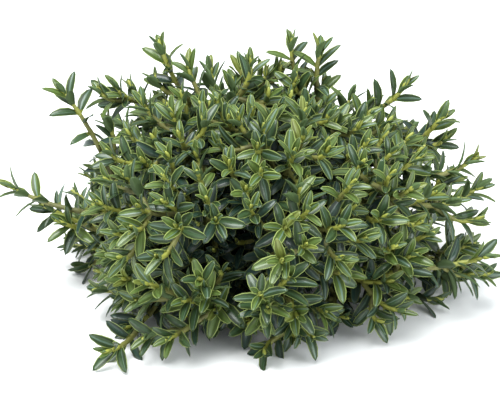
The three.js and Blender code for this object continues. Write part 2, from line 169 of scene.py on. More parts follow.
# ---------- how a shoot is set with leaves

Pair = namedtuple("Pair", "back size angle bend fold")
PAIRS = (  # from the tip down: distance from it, size, angle to the twig, bend and fold of the leaf
    Pair(0.0004, 0.40, 3, -9, 72),
    Pair(0.0034, 0.74, 24, 8, 32),
    Pair(0.0092, 0.96, 42, 22, 24),
    Pair(0.0170, 1.06, 56, 32, 20),
    Pair(0.0265, 1.08, 66, 36, 18),
    Pair(0.0370, 1.06, 74, 38, 18),
    Pair(0.0485, 1.04, 80, 36, 18),
    Pair(0.0610, 1.00, 84, 34, 18),
    Pair(0.0745, 0.96, 87, 34, 18),
    Pair(0.0890, 0.92, 89, 34, 18),
)
LEAFY_SHARE = 0.9  # of a twig's length, down from its tip
PAIR_DRIFT, PAIR_JITTER = 0.4, 0.2  # radians past the quarter, of all a shoot's pairs and of each
SIZE_JITTER, TONE_JITTER = 0.12, 0.7  # within one shoot
FINE_PAIRS = 6  # pairs whose leaves have all their ribs
KEPT_PAIRS, LOST_CHANCE = 3, 0.04  # pairs that lose no leaf, and the chance below them

Skew = namedtuple("Skew", "lean curl twist roll sway")
# How far leaves stray: their lean and curl in degrees, their twist towards the tip and their
# turn about the midrib in radians, and their sway sideways as a share of their length.
LEAF_SKEW = Skew(11, 12, 0.25, 0.45, 0.14)

SPUR_PAIRS = (Pair(0.001, 0.34, 8, -8, 50), Pair(0.004, 0.42, 34, 20, 36))
SPUR_LEVELS = range(4, 9)  # pairs in whose axils short side shoots may grow
SPUR_CHANCE = 0.22
SPURS_FROM = 0.8  # share of the crown's reach outside which they grow
SPUR_LENGTH, SPUR_LEAN = 0.005, 0.75
SPUR_JITTER, SPUR_SKEW = 0.15, 0.6  # in size, and as a share of a grown leaf's skew

LEAF_PARTS = ("margin", "base", "outer", "inner", "sheen", "underside")
LEAF_AGES = ("bud", "young", "mature", "dark", "old")
AGE = (0.7, 0.3, 0.7)  # in steps: at least, what each pair adds, and what the shoot's tone adds
DEEP_SHADE_AGE = (0.86, 14)  # painted shade: leaves inside this share of the crown's reach are older and darker, and by how much
LOW_SHADE_AGE = (0.055, 30)  # painted shade: leaves below this height are older and darker, and by how much
PAINTED_SHEEN_CHANCE = 0.52  # of a leaf with a painted highlight: a pale painted sheen beside its midrib

# ---------- the shape of a leaf

# Half width of a leaf along its length, as a share of the widest.
LEAF_OUTLINE = ((0, 0.34), (0.14, 0.62), (0.38, 1), (0.64, 0.96), (0.88, 0.58), (1, 0))
PLAIN_STATIONS = (0, 0.2, 0.5, 0.82, 1)
# The ring of a leaf's section: across it, and 1 on the upper face, -1 on the lower.
LEAF_SECTION = ((-1, 0), (-0.84, 1), (-0.42, 1), (0, 1), (0.28, 1), (0.84, 1), (1, 0), (0, -1))
PLAIN_SECTION = ((-1, 0), (-0.82, 1), (0, 1), (0.82, 1), (1, 0), (0, -1))
MARGIN_FROM, OUTER_FROM = 0.7, 0.25  # across a leaf
BLADE_FROM, PAINTED_SHEEN_FROM = 0.14, 0.25  # along it: where the blade begins, and where the painted highlight of the sheen begins

FOLD_LOSS = 0.5  # share of its fold that a leaf loses towards its tip
LEAF_THINNING = (0.55, 0.45)  # thickness at the tip, and what the base has more
QUILT = (0.13, 0.44, 0.4)  # rise of a leaf's halves, its middle and its reach, in half widths
LEAST_BEND = 1e-3  # radians
TWIST_WIDTH = 0.3  # share of a twist's sideways travel that is kept
# Where most of a leaf's light comes from: above, and the front or the back that it grows on.
LIGHT_ABOVE = np.array([-0.12, 0.0, 0.86])
LIGHT_BEHIND = np.array([0.0, 0.50, 0.0])
BACK_EDGE = (0.03, 0.15)  # how far back the front's light ends, and the back's begins
LIGHTWARD = 1.0  # how far a leaf turns its face to the light, about its midrib
GROUND_REACH = 0.012  # a leaf that would reach further below the ground is left out
PRESS = 0.004  # height under which the ground presses leaves flat

# ---------- stem, boughs and twigs

STEM_BAR, BOUGH_BAR, TWIG_BAR, SHOOT_BAR = (40, 34), (12, 41), (6, 13), (6, 15)  # sides, rings
BUD_SIDES = 6
BUD_STATIONS = (0, 0.2, 0.5, 0.8, 0.94, 1)

Bark = namedtuple("Bark", "name grain green scale depth", defaults=(None, None))
# The grain of its colours and how green it is, then the scale and depth of its relief.
STEM_BARK = Bark("stem_bark", 0.004, 0.25, 0.006, 0.10)
BOUGH_BARK = Bark("bough_bark", 0.0018, 0.7, 0.0028, 0.11)
TWIG_BARK = Bark("twig_bark", 0.0012, 1.0)
# How often the relief's ridges and grain change, across a limb and along it.
RIDGE_PACE, GRAIN_PACE = (1.6, 0.28), (4, 0.9)
GRAIN_OFFSET, GRAIN_SHARE = 7, 0.45
ROOT_LOBES = (5, 0.14)  # how many, how deep
SMOOTH_FOOT = 0.004  # height over which the relief begins

Scars = namedtuple("Scars", "spacing swell")  # of the old leaf joints along a limb
BOUGH_SCARS = Scars(0.0095, 0.09)
TWIG_SCARS = Scars(0.010, 0.12)
SHOOT_SCARS = Scars(0.0085, 0.22)
SCAR_WIDTH = 0.16  # share of their spacing
BOUGH_FLARE = (0.45, 14)  # swelling where a bough leaves the stem, and how soon it fades
LEAST_WOODY = 0.05  # share of a twig under which its woody part is left out
WOODY_TIP, SHOOT_BASE = 1.35, 1.4  # radii where the green begins, in shoot radii
SHOOT_OVERLAP = 0.001
SHOOT_TAPER = (9, 0.2)  # how soon it narrows to its bud, and to what
GREENING = (2.2, 1.2)  # steps from ripening to green: along a shoot, and by its tone; the darker colour low on a shoot is ripening and partly painted shade
GREEN_SLOT, TIP_SLOT = 2, 3
BUD_SINK = 0.002

# ---------- finishes and stage

# How light the margins, ribs, painted sheens and undersides are at each age; the low lightness of
# old leaves is painted shade deep and low in the crown.
AGE_LIGHTNESS = {"bud": 1.15, "young": 1.1, "mature": 0.9, "dark": 0.65, "old": 0.2}
PART_ROUGHNESS = dict(zip(LEAF_PARTS, (0.5, 0.5, 0.40, 0.27, 0.33, 0.6)))
PART_SHINE = dict(zip(LEAF_PARTS, (0.3, 0.3, 0.3, 0.5, 0.5, 0.3)))
OLD_SHINE = 0.2
# A blade beside its margin and beside its midrib: how light, and how blue.
OUTER_BLADE = (0.55, 0.8)
INNER_BLADE = (1.0, 1.1)

RIDGE_LENGTH = 0.16  # changes along a limb for one across it
LEAST_GREEN = 0.3
GREEN_TONE = (0.35, 0.4)  # lightness of the green: at least, and what all green has more
BLOTCH_BUMP = 0.3
BARK_ROUGHNESS = (0.95, 0.25)  # in the fissures, and what the ridges have less
CLOUD_TONE = 0.985  # of the floor, where it is darker
SKY_TONE = (0.90, 0.95, 1.0, 1)
LAMP_TARGET = (0, 0, 0.1)
LAMPS = (  # name, place, size, share of the main light's power, colour
    ("key", (-0.6, -0.5, 2.2), 2.1, 1, (0.97, 0.99, 1.0)),
    ("fill", (1.5, -1.2, 1.0), 1.4, 0.25, (0.92, 0.96, 1.0)),
)

# ---------- settings


def number(name, description, default, **kind):
    return bpy.props.FloatProperty(name=name, description=description, default=default, **kind)


def length(name, description, default):
    return number(name, description, default, min=0, unit="LENGTH", precision=4)


def colour(name, description, default):
    tone = (*default, 1)
    return bpy.props.FloatVectorProperty(
        name=name, description=description, default=tone, size=4, min=0, max=1, subtype="COLOR"
    )


class ShrubSizes(bpy.types.PropertyGroup):
    """Real sizes of the shrub"""

    half_width: length("Half width", "Crown from its heart to its sides", 0.222)
    half_depth: length("Half depth", "Crown from its heart to its front and back", 0.208)
    rise: length("Rise", "Crown from its heart to its top", 0.180)
    heart: length("Heart height", "Height of the point that the boughs aim from", 0.045)
    stem_height: length("Stem height", "Main stem above the ground", 0.056)
    foot_radius: length("Foot radius", "Stem over its root flare, at the ground", 0.022)
    neck_radius: length("Neck radius", "Stem where it is thinnest", 0.0125)
    head_radius: length("Head radius", "Stem where the boughs leave it", 0.0145)
    bough_radius: length("Bough radius", "Bough at the stem", 0.0035)
    bough_tip: length("Bough tip radius", "Bough where its foliage begins", 0.0024)
    twig_radius: length("Twig radius", "Twig just outside its parent", 0.0023)
    shoot_radius: length("Shoot radius", "Green shoot under its bud", 0.0020)
    leaf_length: length("Leaf length", "Full-grown leaf", 0.0282)
    leaf_width: length("Leaf width", "Full-grown leaf", 0.0097)
    leaf_thickness: length("Leaf thickness", "Leaf at its midrib", 0.0005)
    leaf_past_bud: length("Leaf past bud", "How far leaves reach past the bud", 0.011)
    bud_radius: length("Bud radius", "Bud that ends a shoot", 0.0024)
    bud_length: length("Bud length", "Bud past the last pair of leaves", 0.0100)
    green_length: length("Green length", "Part of a shoot that is still green", 0.072)
    bough_share: number(
        "Bough share", "Share of the crown's reach at which a bough ends", 0.4, subtype="FACTOR"
    )


class ShrubColours(bpy.types.PropertyGroup):
    """Colours of leaves, shoots and bark"""

    bud: colour("Bud", "Closed leaves at a shoot's tip", (0.165, 0.200, 0.042))
    young: colour("Young leaf", "Leaves just opened", (0.086, 0.136, 0.031))
    mature: colour("Mature leaf", "Full-grown leaves", (0.038, 0.073, 0.027))
    # The dark and old leaf colours are the own tones of darker shoots and older leaves, and also
    # painted shade for leaves deep in the crown and near the ground.
    dark: colour("Dark leaf", "Full-grown leaves of the darker shoots", (0.021, 0.047, 0.028))
    old: colour("Old leaf", "Leaves deep in the crown", (0.013, 0.028, 0.019))
    margin: colour("Margin", "Rim of a leaf", (0.235, 0.298, 0.080))
    midrib: colour("Midrib", "Rib along a leaf's middle", (0.165, 0.192, 0.036))
    # Painted highlight: a pale base colour that stands in for the gloss reflecting the sky beside a
    # leaf's midrib.
    sheen: colour("Sheen", "Pale streak beside a leaf's midrib", (0.088, 0.146, 0.100))
    underside: colour("Underside", "Lower face of a leaf", (0.072, 0.116, 0.042))
    tip: colour("Shoot tip", "Bud that ends a shoot", (0.310, 0.335, 0.060))
    shoot: colour("Green shoot", "Shoot near its tip", (0.250, 0.265, 0.045))
    # Partly real ripening, partly painted shade: darkened to stand for the shade lower in the
    # crown.
    ripening: colour("Ripening shoot", "Shoot that is turning woody", (0.110, 0.112, 0.030))
    bark: colour("Bark", "Bark on the ridges", (0.050, 0.042, 0.026))
    fissure: colour("Fissure", "Bark between the ridges", (0.018, 0.014, 0.010))


class ShrubStage(bpy.types.PropertyGroup):
    """Floor, light and camera"""

    floor: colour("Floor", "Pale floor", (0.92, 0.92, 0.91))
    sky: number("Sky", "Strength of the sky", 0.76)
    key: number("Key", "Power of the main light", 108, unit="POWER")
    elevation: number("Elevation", "Camera above the horizon", math.radians(25), subtype="ANGLE")
    distance: length("Distance", "Camera from the shrub's middle", 1.9)
    target: length("Target height", "Height that the camera looks at", 0.100)
    lens: number("Lens", "Focal length of the camera", 135.8, unit="CAMERA")


# ---------- dice, vectors and paths

DICE_SIDES = 2**32
DICE_START, DICE_FACTOR, DICE_STEP = 2654435761, 1664525, 1013904223
MEASURED = np.linspace(0, 1, 33)  # shares of a path at which its length is measured


def make_dice(seed):
    """A repeatable dice: a linear congruential generator."""
    state = seed * DICE_START % DICE_SIDES

    def roll():
        nonlocal state
        state = (state * DICE_FACTOR + DICE_STEP) % DICE_SIDES
        return state / DICE_SIDES

    return roll


def either(dice, amount):
    return (2 * dice() - 1) * amount


def strayed(dice, share=1):
    return Skew(*(either(dice, amount * share) for amount in LEAF_SKEW))


def smooth_step(value, low, high):
    share = max(0.0, min(1.0, (value - low) / (high - low)))
    return share * share * (3 - 2 * share)


def unit(vector):
    return vector / np.linalg.norm(vector)


def direction(azimuth, rise):
    a, r = math.radians(azimuth), math.radians(rise)
    return np.array([math.cos(r) * math.cos(a), math.cos(r) * math.sin(a), math.sin(r)])


def angle_between(one, other):
    return math.acos(max(-1.0, min(1.0, float(one @ other))))


def turned(vector, axis, angle):
    """A vector turned about a unit axis."""
    across = np.cross(axis, vector)
    along = axis * (axis @ vector)
    return along + (vector - along) * math.cos(angle) + across * math.sin(angle)


class Bend:
    """A path from a start, drawn by a middle point, to an end, with its length measured."""

    def __init__(self, start, middle, end):
        self.points = (start, middle, end)
        fine = np.array([self.at(t) for t in MEASURED])
        steps = np.linalg.norm(np.diff(fine, axis=0), axis=1)
        self.walked = np.concatenate([[0], np.cumsum(steps)])
        self.length = float(self.walked[-1])

    def at(self, t):
        a, b, c = self.points
        return (1 - t) ** 2 * a + 2 * (1 - t) * t * b + t**2 * c

    def heading(self, t):
        a, b, c = self.points
        return unit((1 - t) * (b - a) + t * (c - b))

    def share_at(self, walked):
        """The path's own share of 1 after a walked length."""
        return float(np.interp(walked, self.walked, MEASURED))


class Portion:
    """A stretch of a path between two shares of it."""

    def __init__(self, path, first, last):
        self.path, self.first, self.last = path, first, last
        ends = np.interp([first, last], MEASURED, path.walked)
        self.length = float(ends[1] - ends[0])

    def at(self, t):
        return self.path.at(self.first + (self.last - self.first) * t)

    def heading(self, t):
        return self.path.heading(self.first + (self.last - self.first) * t)


# ---------- the growing rule

Bough = namedtuple("Bough", "name azimuth way collar")
Tip = namedtuple("Tip", "way reach end vigour stretch")
Twig = namedtuple("Twig", "path root mass tone vigour stretch")


class Crown:
    """Where the boughs, twigs and shoots of the shrub go."""

    def __init__(self, sizes):
        self.sizes = sizes
        self.heart = np.array([0, 0, sizes.heart])
        self.dents = [(direction(d.azimuth, d.rise), d) for d in HOLLOWS.values()]
        self.boughs = self.plan_boughs()
        self.twigs = self.grow_twigs()

    def reach(self, way):
        """How far the crown reaches from its heart: an ellipsoid, less its hollows."""
        s = self.sizes
        full = 1 / np.linalg.norm(way / (s.half_width, s.half_depth, s.rise))
        for centre, dent in self.dents:
            off = angle_between(way, centre) / math.radians(dent.width)
            full *= 1 - dent.depth * max(0, 1 - off**2)
        return full

    def share_of_reach(self, point):
        """How far out in the crown a point lies: 1 on its outline."""
        offset = point - self.heart
        return float(np.linalg.norm(offset)) / self.reach(unit(offset))

    def in_gap(self, way):
        return any(
            angle_between(way, direction(gap.azimuth, gap.rise)) < math.radians(gap.width)
            for gap in GAPS
        )

    def from_heart(self, way, distance):
        return self.heart + way * distance

    def ring_boughs(self, ring):
        return [bough for bough in self.boughs if bough.name.startswith(ring.name)]

    def twigs_on(self, boughs):
        masses = {bough.name for bough in boughs}
        return [twig for twig in self.twigs if twig.mass in masses]

    def plan_boughs(self):
        dice = make_dice(SEED)
        boughs = []
        for ring in RINGS:
            for place in range(ring.count):
                azimuth = ring.first_azimuth + 360 / ring.count * place
                azimuth += either(dice, RING_JITTER[0])
                way = direction(azimuth, ring.rise + either(dice, RING_JITTER[1]))
                stagger = COLLAR_STAGGER if place % 2 else -COLLAR_STAGGER
                name = f"{ring.name}_{place + 1}"
                boughs.append(Bough(name, azimuth, way, ring.collar + stagger))
        return boughs

    def bough_path(self, bough):
        """From inside the stem, out at its collar, then into line with its own direction."""
        outward = direction(bough.azimuth, 0)
        inside = bough.collar > CREST_HEIGHT
        inner = 0 if inside else stem_radius(self.sizes, bough.collar) - BOUGH_SINK
        start = on_stem(bough.collar) + outward * inner
        reach = self.reach(bough.way) * self.sizes.bough_share
        middle = self.from_heart(bough.way, reach * 0.5)
        return Bend(start, middle, self.from_heart(bough.way, reach))

    def plan_tips(self):
        """Tips of leaders, of the layers between them, and of shoots that flank leaders."""
        dice = make_dice(SEED + 7)
        leaders = [(direction(one.azimuth, one.rise), one) for one in LEADERS.values()]
        tips = [(way, leader.reach, *LEADER_GROWTH) for way, leader in leaders]
        taken = [way for way, _ in leaders]
        for layer in LAYERS:
            tips += self.layer_tips(layer, taken, dice)
        for way, leader in leaders:
            if leader.flanked:
                tips += flanking_tips(way, leader.reach, dice)
        past = self.sizes.leaf_past_bud
        return [
            Tip(way, full - past, self.from_heart(way, full - past), *growth)
            for way, full, *growth in tips
        ]

    def layer_tips(self, layer, taken, dice):
        """Tips spread as seeds are in a sunflower head, clear of leaders and gaps."""
        lowest = math.sin(math.radians(LOWEST_RISE))
        highest = math.sin(math.radians(layer.highest))
        size, gain, spread = SHOOT_LEAF
        tips = []
        for i in range(layer.count):
            height = highest + (lowest - highest) * (i + 0.5) / layer.count
            azimuth = math.degrees(i * GOLDEN_ANGLE) + either(dice, SHOOT_JITTER)
            way = direction(azimuth, math.degrees(math.asin(height)))
            full = self.reach(way) * (layer.depth + either(dice, layer.spread))
            if full > GAP_DEPTH * self.reach(way) and self.in_gap(way):
                continue
            if all(angle_between(way, other) > math.radians(LEADER_SPACE) for other in taken):
                vigour = size + gain * abs(way[1]) + either(dice, spread)
                stretch = SHOOT_STRETCH[0] + either(dice, SHOOT_STRETCH[1])
                tips.append((way, full, vigour, stretch))
        return tips

    def grow_twigs(self):
        """Every twig, on the bough that points nearest to its tip."""
        tips = self.plan_tips()
        dice = make_dice(SEED + 3)
        ways = np.array([bough.way for bough in self.boughs])
        owners = [int(np.argmax(ways @ tip.way)) for tip in tips]
        twigs = []
        for place, bough in enumerate(self.boughs):
            mine = [tip for tip, owner in zip(tips, owners) if owner == place]
            mine = [tip for tip in mine if tip.end[2] > LOWEST_END]
            mine.sort(key=lambda tip: -float(tip.way @ bough.way))
            twigs += self.grow_mass(bough, mine, dice)
        return twigs

    def grow_mass(self, bough, tips, dice):
        """One mass: its own stem in line with the bough, and twigs that spring from it."""
        foot = self.reach(bough.way) * self.sizes.bough_share
        start = self.from_heart(bough.way, foot)
        joints = [(start, bough.way)]
        twigs = []
        for order, tip in enumerate(tips):
            root = order == 0
            if root:
                middle = start + bough.way * (tip.reach - foot) * 0.5
                path = Bend(start, middle, tip.end)
            else:
                source = best_joint(tip, joints)
                reach = np.linalg.norm(tip.end - source)
                heading = unit(tip.way + UP * LIFT_AT_TIP)
                path = Bend(source, tip.end - heading * BEND_SHARE * reach, tip.end)
            joints += [(path.at(share), path.heading(share)) for share in JOINTS]
            twigs.append(Twig(path, root, bough.name, dice(), tip.vigour, tip.stretch))
        return twigs


def flanking_tips(way, reach, dice):
    side = turned(unit(np.cross(way, UP)), way, either(dice, FLANK_TURN))
    tips = []
    for turn in (-1, 1):
        aside = turned(way, side, turn * math.radians(FLANK))
        full = reach * (FLANK_REACH[0] + either(dice, FLANK_REACH[1]))
        tips.append((aside, full, *LEADER_GROWTH))
    return tips


def best_joint(tip, joints):
    """The joint from which a tip is reached with least length and turning."""
    best, least = joints[0][0], math.inf
    for point, heading in joints:
        way = tip.end - point
        away = float(np.linalg.norm(way))
        turning = angle_between(way / away, heading)
        cost = away + TURN_COST * turning
        if away > SHORTEST_TWIG and turning < math.radians(WIDEST_FORK) and cost < least:
            best, least = point, cost
    return best


# ---------- patterns made by extrusion

Pattern = namedtuple("Pattern", "along across upper faces labels")


def extruded_pattern(section, stations, pointed, label=lambda face: 0):
    """A closed bar, drawn from a section along a straight line and read back as arrays."""
    bm = bmesh.new()
    labels = bm.faces.layers.int.new("label")
    bmesh.ops.create_circle(bm, cap_ends=True, segments=len(section), radius=1)
    for vert, (across, upper) in zip(bm.verts, section):
        vert.co = (stations[0], across, upper)
    bm.faces.ensure_lookup_table()
    foot = cap = bm.faces[0]
    for here, there in zip(stations, stations[1:]):
        made = bmesh.ops.extrude_face_region(bm, geom=[cap])["geom"]
        if cap is not foot:
            bmesh.ops.delete(bm, geom=[cap], context="FACES_ONLY")
        cap = next(item for item in made if isinstance(item, bmesh.types.BMFace))
        bmesh.ops.translate(bm, vec=(there - here, 0, 0), verts=cap.verts[:])
    for face in bm.faces:
        face[labels] = label(face)
    if pointed:
        bmesh.ops.pointmerge(bm, verts=cap.verts[:], merge_co=(stations[-1], 0, 0))
    bmesh.ops.recalc_face_normals(bm, faces=bm.faces[:])
    bm.verts.index_update()
    coords = np.array([v.co[:] for v in bm.verts])
    # Sorted, because the operators list the faces in another order on each run.
    faces = sorted(([v.index for v in face.verts], face[labels]) for face in bm.faces)
    bm.free()
    return Pattern(*coords.T, [corners for corners, _ in faces], [mark for _, mark in faces])


def leaf_pattern(section, stations):
    """Its faces are labelled by the places of their parts in LEAF_PARTS."""
    return extruded_pattern(section, stations, True, lambda face: LEAF_PARTS.index(leaf_part(face)))


def leaf_part(face):
    """Which part of a leaf a face of its pattern is."""
    nearest = min(abs(v.co.y) for v in face.verts)
    along = sum(v.co.x for v in face.verts) / len(face.verts)
    if nearest > MARGIN_FROM:
        return "margin"
    if min(v.co.z for v in face.verts) < -0.5:
        return "underside"
    if len(face.verts) > 4 or along < BLADE_FROM:
        return "base"
    if nearest > OUTER_FROM:
        return "outer"
    # Painted highlight: a pale streak on one half of the blade beside the midrib, towards the tip.
    return "sheen" if along > PAINTED_SHEEN_FROM and sum(v.co.y for v in face.verts) > 0 else "inner"


def round_section(sides):
    turns = [2 * math.pi * i / sides for i in range(sides)]
    return tuple((math.cos(turn), math.sin(turn)) for turn in turns)


def round_bar(sides, rings, pointed=False):
    return extruded_pattern(round_section(sides), np.linspace(0, 1, rings), pointed)


def shown(name, data):
    """A new object of the scene."""
    made = bpy.data.objects.new(name, data)
    bpy.context.scene.collection.objects.link(made)
    return made


def add_piece(name, blocks, finishes, nodes=()):
    """A piece from many blocks of (points, faces, finish of each face, unbent points)."""
    points, faces, picks, unbent = [], [], [], []
    offset = 0
    for block_points, block_faces, block_picks, block_unbent in blocks:
        points.append(block_points)
        unbent.append(block_unbent)
        faces += [[corner + offset for corner in face] for face in block_faces]
        picks += block_picks
        offset += len(block_points)
    mesh = bpy.data.meshes.new(name)
    mesh.from_pydata(np.concatenate(points).tolist(), [], faces)
    for material in finishes:
        mesh.materials.append(material)
    mesh.polygons.foreach_set("material_index", np.array(picks, dtype=np.int32))
    mesh.shade_smooth()
    if unbent[0] is not None:
        straight = mesh.attributes.new("straight", "FLOAT_VECTOR", "POINT")
        straight.data.foreach_set("vector", np.concatenate(unbent).astype(np.float32).ravel())
    mesh.update()
    piece = shown(name, mesh)
    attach(piece, "root")
    if nodes:
        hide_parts(*nodes)


# ---------- limbs


def on_stem(height):
    return np.array([STEM_LEAN * height, 0, height])


def stem_radius(sizes, height):
    neck, head = sizes.neck_radius, sizes.head_radius
    if height < NECK_HEIGHT:
        share = 1 - height / NECK_HEIGHT
        return neck + (sizes.foot_radius - neck) * share**2
    body = neck + (head - neck) * smooth_step(height, NECK_HEIGHT, HEAD_HEIGHT)
    closing = smooth_step(height, HEAD_HEIGHT, sizes.stem_height)
    return body + (CREST_RADIUS - body) * closing


def limb_block(pattern, path, radius_at, slot_at=lambda share: 0, relief=None):
    """A limb's pattern bent along its path, with a radius and a slot at each share of it."""
    shares = np.round(pattern.along, 6)
    twist = unit(np.cross(path.heading(0), SLANT))
    frames = {}
    for share in sorted(set(shares)):
        heading = path.heading(share)
        across = unit(np.cross(heading, twist))
        frames[share] = (path.at(share), across, np.cross(heading, across), radius_at(share))
    points, straight = [], []
    for share, a, b in zip(shares, pattern.across, pattern.upper):
        centre, across, beside, radius = frames[share]
        local = np.array([a * radius, b * radius, share * path.length])
        if relief:
            swell = 1 + relief(local)
            local[:2] *= swell
        points.append(centre + across * local[0] + beside * local[1])
        straight.append(local)
    middles = [sum(pattern.along[v] for v in face) / len(face) for face in pattern.faces]
    picks = [slot_at(middle) for middle in middles]
    return np.array(points), pattern.faces, picks, np.array(straight)


def limb_noise(place, pace, offset=0):
    x, y, z = place
    across, along = pace
    return noise.noise(Vector((x * across, y * across, z * along + offset)))


def bark_relief(bark):
    """Ridges that run along a limb, broken by a finer grain."""

    def relief(local):
        place = local / bark.scale
        grain = limb_noise(place, GRAIN_PACE, GRAIN_OFFSET)
        return bark.depth * (limb_noise(place, RIDGE_PACE) + GRAIN_SHARE * grain)

    return relief


def stem_relief():
    ridges = bark_relief(STEM_BARK)
    count, depth = ROOT_LOBES

    def relief(local):
        flare = max(0, 1 - local[2] / NECK_HEIGHT)
        lobes = depth * flare * math.cos(count * math.atan2(local[1], local[0]))
        return lobes + ridges(local) * min(1, local[2] / SMOOTH_FOOT)

    return relief


def scarred_radius(base, tip, length_m, scars):
    """A taper that swells at each old leaf joint."""

    def radius_at(share):
        taper = base + (tip - base) * share
        phase = (share * length_m / scars.spacing) % 1.0
        return taper * (1 + scars.swell * math.exp(-(((phase - 0.5) / SCAR_WIDTH) ** 2)))

    return radius_at


def bough_block(pattern, path, sizes):
    scarred = scarred_radius(sizes.bough_radius, sizes.bough_tip, path.length, BOUGH_SCARS)
    flare, fade = BOUGH_FLARE

    def radius_at(share):
        return scarred(share) * (1 + flare * math.exp(-share * fade))

    return limb_block(pattern, path, radius_at, relief=bark_relief(BOUGH_BARK))


def woody_blocks(pattern, twig, sizes):
    """A twig's woody part, or nothing where hardly any of it is woody."""
    path = twig.path
    share = path.share_at(path.length - sizes.green_length)
    if share < LEAST_WOODY:
        return []
    woody = Portion(path, 0, share)
    base = sizes.bough_tip if twig.root else sizes.twig_radius
    tip = sizes.shoot_radius * WOODY_TIP
    return [limb_block(pattern, woody, scarred_radius(base, tip, woody.length, TWIG_SCARS))]


def shoot_block(pattern, twig, sizes):
    """A twig's green end, from just inside its wood to its bud."""
    path = twig.path
    first = max(0.0, path.share_at(path.length - sizes.green_length - SHOOT_OVERLAP))
    green = Portion(path, first, 1)
    base, tip = sizes.shoot_radius * SHOOT_BASE, sizes.shoot_radius
    scarred = scarred_radius(base, tip, green.length, SHOOT_SCARS)
    along, by_tone = GREENING

    def radius_at(share):
        return scarred(share) * min(1, (1 - share) * SHOOT_TAPER[0] + SHOOT_TAPER[1])

    # Darker towards the shoot's base: ripening, and partly painted shade.
    def slot_at(share):
        return min(GREEN_SLOT, int(share * along + twig.tone * by_tone))

    return limb_block(pattern, green, radius_at, slot_at)


def bud_block(pattern, path, sizes):
    """An egg on the shoot's end, held between its last pair of leaves."""
    end, heading = path.at(1), path.heading(1)
    ends = (end - heading * BUD_SINK, end, end + heading * sizes.bud_length)

    def radius_at(share):
        return sizes.bud_radius * math.sqrt(max(0.1, 1 - (2 * share - 1) ** 2))

    return limb_block(pattern, Bend(*ends), radius_at, lambda share: TIP_SLOT)


# ---------- materials


class Value:
    """A node's output that takes part in sums."""

    def __init__(self, paint, socket):
        self.paint = paint
        self.socket = socket

    def sum_with(self, operation, one, other):
        return self.paint.node("ShaderNodeMath", {"operation": operation}, {0: one, 1: other})

    def __add__(self, other):
        return self.sum_with("ADD", self, other)

    def __sub__(self, other):
        return self.sum_with("SUBTRACT", self, other)

    def __rsub__(self, other):
        return self.sum_with("SUBTRACT", other, self)

    def __mul__(self, other):
        return self.sum_with("MULTIPLY", self, other)

    __radd__, __rmul__ = __add__, __mul__


class Paint:
    """A material's nodes, added one at a time."""

    def __init__(self, name):
        self.material = bpy.data.materials.get(name) or bpy.data.materials.new(name)
        self.material.use_nodes = True
        self.tree = self.material.node_tree
        self.shader = self.tree.nodes["Principled BSDF"]

    def node(self, kind, settings=(), values=(), output=0):
        """Any node: its settings first, then the values or links of its sockets."""
        made = self.tree.nodes.new(kind)
        for name, value in dict(settings).items():
            if name == "stops":
                for stop, (place, tone) in zip(made.color_ramp.elements, value):
                    stop.position, stop.color = place, tone
            else:
                setattr(made, name, value)
        for socket, value in dict(values).items():
            self.feed(made.inputs[socket], value)
        return Value(self, made.outputs[output])

    def noise(self, place, scale, detail):
        values = {"Vector": place, "Scale": scale, "Detail": detail}
        return self.node("ShaderNodeTexNoise", {}, values)

    def mix(self, share, one, other):
        values = {0: share, 6: one, 7: other}
        return self.node("ShaderNodeMix", {"data_type": "RGBA"}, values, output=2)

    def feed(self, socket, value):
        if isinstance(value, Value):
            self.tree.links.new(value.socket, socket)
        else:
            socket.default_value = value

    def set(self, **values):
        for name, value in values.items():
            self.feed(self.shader.inputs[name.replace("_", " ")], value)
        return self.material


def plain(name, tone, roughness, **more):
    paint = Paint(name)
    paint.material.diffuse_color = tone
    return paint.set(Base_Color=tone, Roughness=roughness, **more)


def tinted(tone, factor, blue=1.0):
    """A colour made lighter or darker, and bluer."""
    return (tone[0] * factor, tone[1] * factor, tone[2] * factor * blue, 1)


def leaf_tones(colours, age):
    blade = getattr(colours, age)[:]
    light = AGE_LIGHTNESS[age]
    return {
        "margin": tinted(colours.margin, light),
        "base": tinted(colours.midrib, light),
        "outer": tinted(blade, *OUTER_BLADE),
        "inner": tinted(blade, *INNER_BLADE),
        # The sheen is a painted highlight; a bud's is its own blade colour.
        "sheen": blade if age == "bud" else tinted(colours.sheen, light),
        "underside": tinted(colours.underside, light),
    }


def leaf_materials(colours):
    """Plain finishes for each part of a leaf at each age, in the order of leaf_slot."""
    made = []
    for age in LEAF_AGES:
        tones = leaf_tones(colours, age)
        for part in LEAF_PARTS:
            shine = OLD_SHINE if age == "old" else PART_SHINE[part]
            name = f"{age}_leaf_{part}"
            made.append(plain(name, tones[part], PART_ROUGHNESS[part], Specular_IOR_Level=shine))
    return made


def leaf_slot(leaf, part):
    """The place of a leaf part's finish among the leaf materials."""
    # Leaves dealt no painted highlight show their inner blade there.
    if part == "sheen" and not leaf.streaked:
        part = "inner"
    return LEAF_AGES.index(leaf.age) * len(LEAF_PARTS) + LEAF_PARTS.index(part)


def shoot_materials(colours):
    return [
        plain("ripening_shoot", colours.ripening[:], 0.6),
        plain("half_ripe_shoot", tinted(colours.ripening, 1.5, 0.9), 0.55),
        plain("green_shoot", colours.shoot[:], 0.5),
        plain("shoot_tip", colours.tip[:], 0.45),
    ]


